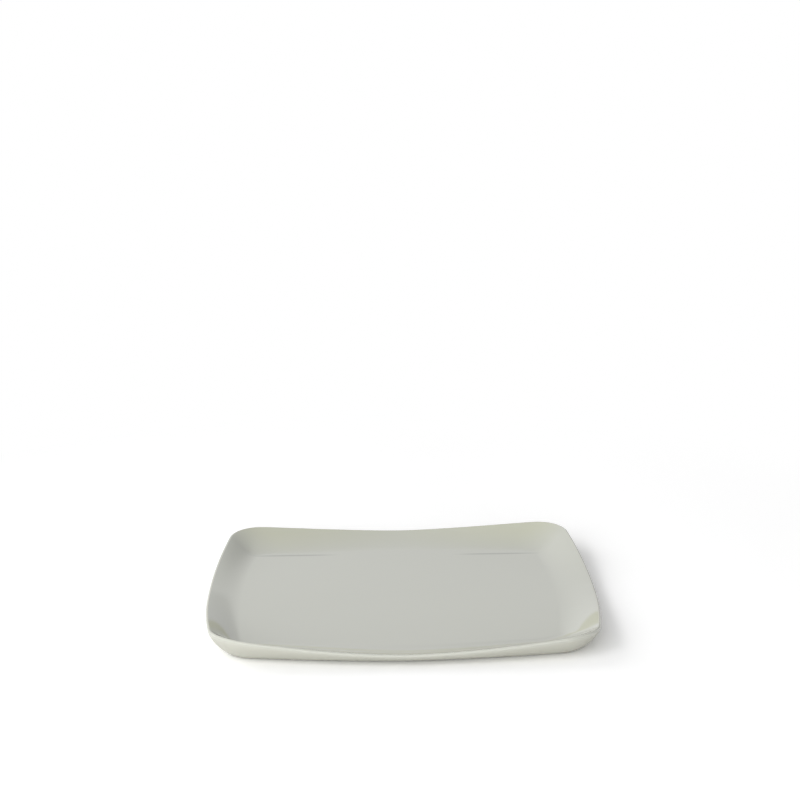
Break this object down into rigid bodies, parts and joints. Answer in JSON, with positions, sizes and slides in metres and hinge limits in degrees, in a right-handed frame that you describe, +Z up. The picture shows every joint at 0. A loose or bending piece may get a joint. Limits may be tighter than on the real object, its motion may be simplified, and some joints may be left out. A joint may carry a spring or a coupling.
{
  "type": "square serving platter",
  "caption": "Shallow square porcelain serving platter with bowed sides, raised round corners, a glazed inside and a flat resting band.",
  "frame": {"origin": "on the table under the middle of the platter: the centre of the bounding box's bottom face, in the plane of the resting band", "axes": "+Z up, out of the serving face; +X to the platter's right and +Y to its back, square to the sides"},
  "size_m": [0.3, 0.3, 0.0186],
  "materials": {
    "bare_porcelain": "warm white fired porcelain, smooth and matte, without glaze",
    "clear_glaze": "clear gloss glaze over warm white porcelain"
  },
  "bodies": {
    "root": {"porcelain_body": "bare_porcelain", "inner_glaze": "clear_glaze"}
  },
  "joints": []
}
